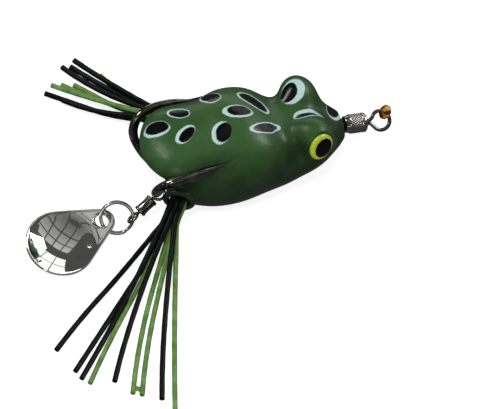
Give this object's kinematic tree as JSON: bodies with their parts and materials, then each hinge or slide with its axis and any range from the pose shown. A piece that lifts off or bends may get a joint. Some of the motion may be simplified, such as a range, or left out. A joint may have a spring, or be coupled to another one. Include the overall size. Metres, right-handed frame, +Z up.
{
  "type": "hollow-body frog lure",
  "caption": "Soft hollow-body frog surface lure with a double hook, rubber strand legs, a nose swivel and a spinner blade on a tail swivel.",
  "frame": {"origin": "middle of the flat belly face that the lure rests on", "axes": "+X towards the nose, +Y the frog's left, +Z up"},
  "size_m": [0.0921, 0.1027, 0.0216],
  "materials": {
    "shell_soft_pvc": "satin",
    "eye_yellow": "gloss",
    "eye_black": "gloss",
    "hook_black_nickel": "polished",
    "weight_lead": "satin",
    "swivel_gunmetal": "satin",
    "bead_amber": "gloss",
    "swivel_steel": "polished",
    "ring_nickel": "polished",
    "blade_chrome": "mirror",
    "plug_rubber": "matte",
    "strand_black": "satin",
    "strand_green": "satin"
  },
  "bodies": {
    "root": {"body_shell": "shell_soft_pvc", "eye_iris_left": "eye_yellow", "eye_iris_right": "eye_yellow", "eye_pupil_left": "eye_black", "eye_pupil_right": "eye_black", "double_hook": "hook_black_nickel", "belly_weight": "weight_lead", "nose_swivel_rear_eye": "swivel_gunmetal", "skirt_plug_left": "plug_rubber", "skirt_plug_right": "plug_rubber", "skirt_left_1": "strand_black", "skirt_left_2": "strand_black", "skirt_left_3": "strand_green", "skirt_left_4": "strand_green", "skirt_left_5": "strand_green", "skirt_left_6": "strand_black", "skirt_left_7": "strand_black", "skirt_left_8": "strand_black", "skirt_left_9": "strand_green", "skirt_right_1": "strand_black", "skirt_right_2": "strand_black", "skirt_right_3": "strand_black", "skirt_right_4": "strand_green", "skirt_right_5": "strand_black", "skirt_right_6": "strand_green", "skirt_right_7": "strand_green", "skirt_right_8": "strand_black", "skirt_right_9": "strand_green"},
    "nose_barrel": {"nose_swivel_barrel": "swivel_gunmetal"},
    "line_tie": {"line_tie_eye": "swivel_gunmetal"},
    "bead": {"tie_bead": "bead_amber"},
    "tail_front": {"tail_swivel_front_eye": "swivel_steel"},
    "tail_barrel": {"tail_swivel_barrel": "swivel_steel"},
    "tail_rear": {"tail_swivel_rear_eye": "swivel_steel"},
    "ring": {"split_ring": "ring_nickel"},
    "blade": {"spinner_blade": "blade_chrome"}
  },
  "joints": [
    {"name": "nose_barrel_spin", "type": "hinge", "parent": "root", "child": "nose_barrel", "pos_m": [0.02758, 0, 0.00647], "axis": [0.9781, 0, -0.2079], "continuous": true},
    {"name": "line_tie_spin", "type": "hinge", "parent": "nose_barrel", "child": "line_tie", "pos_m": [0.03022, 0, 0.0059], "axis": [0.9781, 0, -0.2079], "continuous": true},
    {"name": "bead_slide", "type": "hinge", "parent": "line_tie", "child": "bead", "pos_m": [0.03384, 0, 0.00514], "axis": [-0.1679, 0.5899, -0.7898], "range_deg": [-95, 195]},
    {"name": "tail_pivot", "type": "hinge", "parent": "root", "child": "tail_front", "pos_m": [-0.0209, -0.00605, 0.0073], "axis": [-0.3505, -0.7011, 0.621], "range_deg": [-60, 12]},
    {"name": "tail_barrel_spin", "type": "hinge", "parent": "tail_front", "child": "tail_barrel", "pos_m": [-0.02425, -0.00703, 0.00545], "axis": [-0.8478, -0.2481, -0.4687], "continuous": true},
    {"name": "tail_rear_spin", "type": "hinge", "parent": "tail_front", "child": "tail_rear", "pos_m": [-0.02425, -0.00703, 0.00545], "axis": [-0.8478, -0.2481, -0.4687], "range_deg": [-95, 215]},
    {"name": "ring_swing", "type": "hinge", "parent": "tail_rear", "child": "ring", "pos_m": [-0.02759, -0.00801, 0.0036], "axis": [-0.0573, -0.8361, 0.5456], "range_deg": [-5, 80]},
    {"name": "blade_swing", "type": "hinge", "parent": "ring", "child": "blade", "pos_m": [-0.03456, -0.00628, 0.0028], "axis": [0.0869, -0.5932, -0.8003], "range_deg": [-50, 120]}
  ]
}
